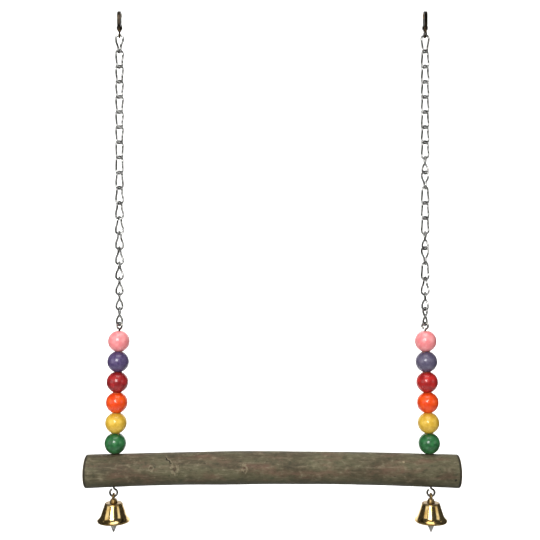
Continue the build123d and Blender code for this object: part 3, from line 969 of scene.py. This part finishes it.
@dataclass
class TwistedChain:
    """The two chains of twisted wire links.

    Each entry of turns gives a first link, a last link and how far the chain turns between them.
    """

    hanging: Hanging
    top_z: float = -17.05 * MM
    pitch: float = 14.0 * MM
    wire: float = 2.0 * MM
    play: float = 0.25 * MM
    bend: float = 3.3 * MM
    twist: float = 30.0
    seam: float = 0.2 * MM
    top_yaw: float = -30.0
    turns: Mapping[Side, tuple[tuple[int, int, float], ...]] = field(
        default_factory=lambda: {
            Side.LEFT: ((1, 2, 30.0), (7, 19, 80.0)),
            Side.RIGHT: ((1, 2, 30.0), (8, 11, 180.0), (13, 16, 180.0), (16, 19, 80.0)),
        }
    )
    links: int = 19
    links_per_node: int = 2
    sides: int = 14
    steps: int = 14

    @property
    def link_length(self) -> float:
        """Length of a link between the middles of its end wires."""
        return self.pitch + self.wire + self.play

    def build(self, finish: bpy.types.Material) -> None:
        """Builds the links of both chains and dresses them.

        Args:
            finish: The wire's material.
        """
        path = self._path()
        for side in Side:
            top = f"{side.word}_top_link"
            self._pair(path, side, (1,), finish, f"{side.word}_wire_link_01", top, top)
            for first in range(2, self.links + 1, self.links_per_node):
                numbers = tuple(range(first, first + self.links_per_node))
                node = f"{side.word}_links_{numbers[0]:02d}_{numbers[-1]:02d}"
                name = f"{side.word}_wire_links_{numbers[0]:02d}_{numbers[-1]:02d}"
                self._pair(path, side, numbers, finish, name, f"{side.word}_chain", node)

    def _pair(
        self,
        path: Sequence[Vector],
        side: Side,
        numbers: Sequence[int],
        finish: bpy.types.Material,
        name: str,
        body: str,
        node: str,
    ) -> None:
        """Builds the links of one node of the construction model as one piece."""
        shell = Shell()
        for number in numbers:
            placing = self._placing(side, number)
            shell.tube([placing @ point for point in path], self.wire / 2.0, self.sides)
        mount(shell.piece(name, finish), body, node)

    def _placing(self, side: Side, number: int) -> Matrix:
        """Where a link hangs, counted from 1 at the top."""
        yaw = self.top_yaw
        for first, last, turn in self.turns[side]:
            yaw += turn * min(1.0, max(0.0, (number - first) / (last - first)))
        middle = self.top_z - self.pitch * (number - 1) - self.link_length / 2.0
        spot = Matrix.Translation((side.value * self.hanging.hang_x, 0.0, middle))
        return spot @ Matrix.Rotation(math.radians(yaw), 4, "Z")

    def _path(self) -> list[Vector]:
        """Middle of the wire round one link, from one end of its seam to the other."""
        half = self.link_length / 2.0 - self.bend
        reach = self.bend * math.cos(math.radians(self.twist))
        lean = self.bend * math.sin(math.radians(self.twist))
        curve = (half**2 + lean**2) / (2.0 * lean)
        turn = math.degrees(2.0 * math.atan2(lean, half))
        seam = turn - math.degrees(self.seam / 2.0 / curve)

        def flank(sign: int, rise: int, start: float, end: float) -> list[Vector]:
            """Half of one side of the link."""
            out = BACK * (sign * rise)
            middle = Vector((sign * reach, 0.0, rise * half)) + out * (lean - curve)
            return arc(middle, out, UP * -rise, curve, (start, end), self.steps)

        def round_end(rise: int, start: float, end: float) -> list[Vector]:
            """Half-round end of the link."""
            out = level(rise * self.twist)
            return arc(UP * (rise * half), out, UP * rise, self.bend, (start, end), 2 * self.steps)

        return joined(
            flank(1, -1, seam, 0.0),
            round_end(-1, 0.0, 180.0),
            flank(-1, -1, 0.0, turn),
            flank(-1, 1, turn, 0.0),
            round_end(1, 180.0, 0.0),
            flank(1, 1, 0.0, seam),
        )


@dataclass
class HangerRod:
    """The wire through each stack of beads, with an eye above and a ring below."""

    hanging: Hanging
    wire: float = 2.0 * MM
    eye: float = 2.9 * MM
    eye_yaw: float = -35.0
    ring: float = 3.4 * MM
    neck: float = 2.2 * MM
    close_share: float = 1.15
    neck_top: float = 129.05 * MM
    neck_foot: float = -15.5 * MM
    sides: int = 18
    steps: int = 24

    def build(self, finish: bpy.types.Material) -> None:
        """Builds both rods and dresses them.

        Args:
            finish: The wire's material.
        """
        upper = self._eye(self.neck_top, self.eye, 1.0, self.eye_yaw)
        lower = self._eye(self.neck_foot, self.ring, -1.0, 0.0)
        top, foot = UP * self.neck_top, UP * self.neck_foot
        stem = [top.lerp(foot, step / self.steps) for step in range(self.steps + 1)]
        path = joined(list(reversed(upper)), stem, lower)
        for side in Side:
            shell = Shell()
            placing = self.hanging.rod_frame(side)
            shell.tube([placing @ point for point in path], self.wire / 2.0, self.sides)
            made = shell.piece(f"{side.word}_hanger_wire", finish)
            mount(made, "perch", f"{side.word}_rod")

    def _eye(self, start: float, radius: float, rise: float, yaw: float) -> list[Vector]:
        """Middle of the wire from the stem's end round an eye centred on the stem."""
        out = level(yaw)
        to_eye = UP * rise
        reach = math.sqrt(radius**2 + 2.0 * self.neck * radius)
        middle = UP * start + to_eye * reach
        meet = math.degrees(math.atan2(self.neck, reach))
        closed = FULL_TURN - meet * self.close_share
        side = UP * start + out * self.neck
        neck = arc(side, -out, to_eye, self.neck, (0.0, 90.0 - meet), self.steps // 2)
        loop = arc(middle, -to_eye, out, radius, (meet, closed), 2 * self.steps)
        return joined(neck, loop)


@dataclass
class Bell:
    """The brass bells with their knobs, and the clappers inside."""

    bell_x: float = 146.7207 * MM
    crown_z: float = -449.3068 * MM
    lip: float = 15.0 * MM
    shoulder: float = 7.9 * MM
    height: float = 17.2 * MM
    waist: float = 11.6 * MM
    waist_rise: float = 6.2 * MM
    lip_band: float = 1.6 * MM
    wall: float = 1.0 * MM
    shoulder_round: float = 1.3 * MM
    lip_round: float = 0.35 * MM
    screw: float = 1.32 * MM
    segments: int = 128
    steps: int = 12
    edge_steps: int = 5

    def build(self, steel: bpy.types.Material) -> None:
        """Builds the shells and dresses every piece of both bells.

        Args:
            steel: Material of the clappers and their eyes.
        """
        brass = BellBrass(self.crown_z, self.crown_z - self.height).material()
        for side in Side:
            shell = Shell()
            shell.turned(self._outline(), self.segments, True)
            placing = Matrix.Translation((side.value * self.bell_x, 0.0, 0.0))
            made = shell.piece(f"{side.word}_brass_bell", brass, placing)
            mount(made, f"{side.word}_bell", f"{side.word}_bell_shell")
            dress(f"{side.word}_bell_knob", brass)
            dress(f"{side.word}_clapper_eye", steel)
            dress(f"{side.word}_clapper", steel)

    def _outline(self) -> list[Vector]:
        """Outline of the shell's wall, from the crown's hole over the outside and back up the inside."""
        outside = self._wall(0.0, self.crown_z, self.shoulder_round)
        inside = self._wall(self.wall, self.crown_z - self.wall, 0.4 * self.shoulder_round)
        foot = self.crown_z - self.height
        ease = self.lip_round
        rise = UP * (foot + ease)
        outer = arc(OUT * (self.lip - ease) + rise, OUT, -UP, ease, (0.0, 90.0), self.edge_steps)
        inner_edge = OUT * (self.lip - self.wall + ease) + rise
        inner = arc(inner_edge, -UP, -OUT, ease, (0.0, 90.0), self.edge_steps)
        top = [Vector((self.screw, 0, self.crown_z))]
        under = [Vector((self.screw, 0, self.crown_z - self.wall))]
        return joined(top, outside[:-1], outer, inner, list(reversed(inside[:-1])), under)

    def _wall(self, inset: float, top: float, ease: float) -> list[Vector]:
        """One face of the wall, from the crown over the rounded shoulder to the lip."""
        foot = self.crown_z - self.height
        corner = Vector((self.shoulder - inset, 0, top))
        waist = Vector((self.waist - inset, 0, foot + self.waist_rise))
        band = Vector((self.lip - inset, 0, foot + self.lip_band))
        slope = (waist - corner).normalized()
        reach = ease * math.tan(math.atan2(-slope.z, slope.x) / 2.0)
        shoulder = tangent_arc(corner - OUT * reach, OUT, corner + slope * reach, self.steps // 2)
        flare = tangent_arc(waist, slope, band, self.steps)
        straight = [shoulder[-1].lerp(waist, step / self.steps) for step in range(self.steps)]
        return joined(shoulder, straight, flare, [Vector((self.lip - inset, 0, foot))])


def dress(node: str, material: bpy.types.Material) -> None:
    """Gives a node of the construction model its finish.

    Args:
        node: The node's name.
        material: Its material.
    """
    owner = FRAME["nodes"][node]
    owner.data.materials.clear()
    owner.data.materials.append(material)
    LOG.info("%s is dressed in %s", node, material.name)


@dataclass
class SnapHook:
    """The snap hooks with their gates and swivel eyes, and the leaf springs behind the gates."""

    hanging: Hanging
    bowl: float = 2.75 * MM
    leaf_strip: float = 0.3 * MM
    leaf_width: float = 1.2 * MM
    leaf_root: float = -6.2 * MM
    leaf_belly: float = -6.7 * MM
    leaf_tip: float = -5.2 * MM
    leaf_reach: float = 2.6 * MM
    leaf_steps: int = 28
    bend_start_share: float = 0.3
    plated_nodes: tuple[str, ...] = ("hook_body", "hook_gate", "swivel_eye")

    def build(self, steel: bpy.types.Material) -> None:
        """Builds the leaf springs and dresses the pieces of both hooks.

        Args:
            steel: Material of the pins and the leaf springs.
        """
        plating = HookPlating(self.bowl).material()
        for side in Side:
            for name in self.plated_nodes:
                dress(f"{side.word}_{name}", plating)
            dress(f"{side.word}_gate_pin", steel)
            self._leaf(side, steel)

    def _leaf(self, side: Side, steel: bpy.types.Material) -> None:
        """Builds one leaf spring, from its root by the hook to its tip by the gate, and hides the gate
        spring node.
        """
        middle = side.value * self.hanging.hang_x
        spots = [self._leaf_spot(middle, step / self.leaf_steps) for step in range(self.leaf_steps + 1)]
        half = OUT * (self.leaf_width / 2.0)
        lift = UP * self.leaf_strip
        corners = (-half, half, half + lift, lift - half)
        shell = Shell()
        shell.skin([[spot + corner for corner in corners] for spot in spots], True)
        leaf = shell.piece(f"{side.word}_leaf_spring", steel)
        node = f"{side.word}_gate_spring"
        start = self._leaf_spot(middle, self.bend_start_share)
        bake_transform(leaf)
        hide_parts(node)
        LOG.info("%s stands for %s and bends with its gate", leaf.name, node)

    def _leaf_spot(self, middle: float, share: float) -> Vector:
        """Point on the underside of a leaf spring at a share of its reach from the root to the tip."""
        rest = 1.0 - share
        root = self.leaf_root * rest * (rest - share)
        belly = 4.0 * self.leaf_belly * share * rest
        tip = self.leaf_tip * share * (share - rest)
        return Vector((middle, -self.bowl * rest + self.leaf_reach * share, root + belly + tip))


@dataclass
class SoftBox:
    """A square studio lamp."""

    name: str
    place: Triple
    target: Triple
    size: float
    watts: float
    spread: float = 180.0

    def build(self) -> None:
        """Hangs the lamp and points it."""
        data = bpy.data.lights.new(self.name, "AREA")
        data.shape = "SQUARE"
        data.size = self.size
        data.energy = self.watts
        data.spread = math.radians(self.spread)
        lamp = bpy.data.objects.new(self.name, data)
        lamp.location = self.place
        aim = Vector(self.target) - Vector(self.place)
        lamp.rotation_euler = aim.to_track_quat("-Z", "Y").to_euler()
        bpy.context.collection.objects.link(lamp)


@dataclass
class Studio:
    """Pale sweep, soft lamps and the camera."""

    floor_z: float = -1.1
    near: float = -1.7
    sweep_start: float = 1.2
    sweep_radius: float = 1.0
    wall_top: float = 2.6
    half_width: float = 1.6
    sweep_steps: int = 24
    room_level: float = 0.07
    backdrop_level: float = 0.86
    view_height: float = -234.3 * MM
    view_x: float = -2.1 * MM
    view_distance: float = 733.6 * MM
    view_width: float = 499.5 * MM
    sensor: float = 36.0
    paper_tones: tuple[Colour, Colour] = (paint(246, 246, 245), paint(250, 250, 249))
    lamps: tuple[SoftBox, ...] = (
        SoftBox("key_lamp", (-0.25, -1.1, 0.15), (0.0, 0.0, -0.26), 0.48, 12.5),
        SoftBox("fill_lamp", (-1.15, -0.75, -0.1), (0.0, 0.0, -0.26), 0.8, 3.0),
        SoftBox("side_lamp", (1.2, -0.7, -0.05), (0.0, 0.0, -0.26), 0.6, 1.6),
        SoftBox("top_lamp", (0.0, -0.25, 0.95), (0.0, 0.0, -0.2), 0.9, 9.5),
        SoftBox("back_lamp", (0.0, 1.0, 0.8), (0.0, 0.0, -0.35), 0.9, 4.0),
        SoftBox("left_wall_lamp", (-1.6, 0.5, 0.9), (-0.5, 2.2, -0.2), 1.2, 24.0, 100.0),
        SoftBox("right_wall_lamp", (1.6, 0.5, 0.9), (0.5, 2.2, -0.2), 1.2, 24.0, 100.0),
    )

    def build(self) -> None:
        """Sets up the sweep, the lamps, the room light and the camera."""
        self._sweep()
        for lamp in self.lamps:
            lamp.build()
        self._room()
        self._camera()

    def _sweep(self) -> None:
        """Pale floor that curves up into a wall."""
        middle = Vector((0.0, self.sweep_start, self.floor_z + self.sweep_radius))
        curve = arc(middle, -UP, BACK, self.sweep_radius, (0.0, 90.0), self.sweep_steps)
        near = Vector((0.0, self.near, self.floor_z))
        far = Vector((0.0, self.sweep_start + self.sweep_radius, self.wall_top))
        line = joined([near], curve, [far])
        shell = Shell()
        points = [spot + OUT * (side.value * self.half_width) for spot in line for side in Side]
        faces = [(2 * i, 2 * i + 1, 2 * i + 3, 2 * i + 2) for i in range(len(line) - 1)]
        shell.add(points, faces)
        paper = Recipe("pale_paper")
        fleck = paper.cloud(paper.place(), 40.0, 3.0)
        paper.set(
            Base_Color=paper.mix(fleck, *self.paper_tones),
            Roughness=0.9,
            Specular_IOR_Level=0.1,
        )
        shell.piece("paper_sweep", paper.material)

    def _room(self) -> None:
        """Weak even light from the room, which itself shows as a pale backdrop."""
        world = bpy.data.worlds.new("studio_room")
        world.use_nodes = True
        nodes, links = world.node_tree.nodes, world.node_tree.links
        light = nodes["Background"]
        backdrop = nodes.new("ShaderNodeBackground")
        for sky, strength in ((light, self.room_level), (backdrop, self.backdrop_level)):
            sky.inputs["Color"].default_value = (1.0, 1.0, 1.0, 1.0)
            sky.inputs["Strength"].default_value = strength
        seen = nodes.new("ShaderNodeLightPath")
        choice = nodes.new("ShaderNodeMixShader")
        links.new(seen.outputs["Is Camera Ray"], choice.inputs[0])
        links.new(light.outputs[0], choice.inputs[1])
        links.new(backdrop.outputs[0], choice.inputs[2])
        links.new(choice.outputs[0], nodes["World Output"].inputs["Surface"])
        bpy.context.scene.world = world
        bpy.context.scene.view_settings.view_transform = "Standard"

    def _camera(self) -> None:
        """Camera level with the middle of the swing, straight in front of it."""
        data = bpy.data.cameras.new("front_view")
        data.sensor_width = self.sensor
        data.lens = self.sensor * self.view_distance / self.view_width
        data.dof.use_dof = False
        camera = bpy.data.objects.new("front_view", data)
        camera.location = (self.view_x, -self.view_distance, self.view_height)
        camera.rotation_euler = (math.radians(90.0), 0.0, 0.0)
        bpy.context.collection.objects.link(camera)
        bpy.context.scene.camera = camera


def main() -> None:
    """Builds the sub-assemblies in order and reports each piece."""
    logging.basicConfig(level=logging.INFO, format="%(name)s: %(message)s")
    FRAME.update(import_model())
    hanging = Hanging()
    nickel = PlatedWire("nickel_wire", paint(168, 168, 166), paint(102, 101, 98)).material()
    rod_steel = PlatedWire("rod_wire", paint(152, 149, 142), paint(84, 80, 72)).material()
    steel = PlatedWire("turned_steel", paint(150, 148, 144), paint(88, 86, 82)).material()
    Perch().build()
    BeadStack(hanging).build()
    TwistedChain(hanging).build(nickel)
    HangerRod(hanging).build(rod_steel)
    Bell().build(steel)
    SnapHook(hanging).build(steel)
    Studio().build()


if __name__ == "__main__":
    main()
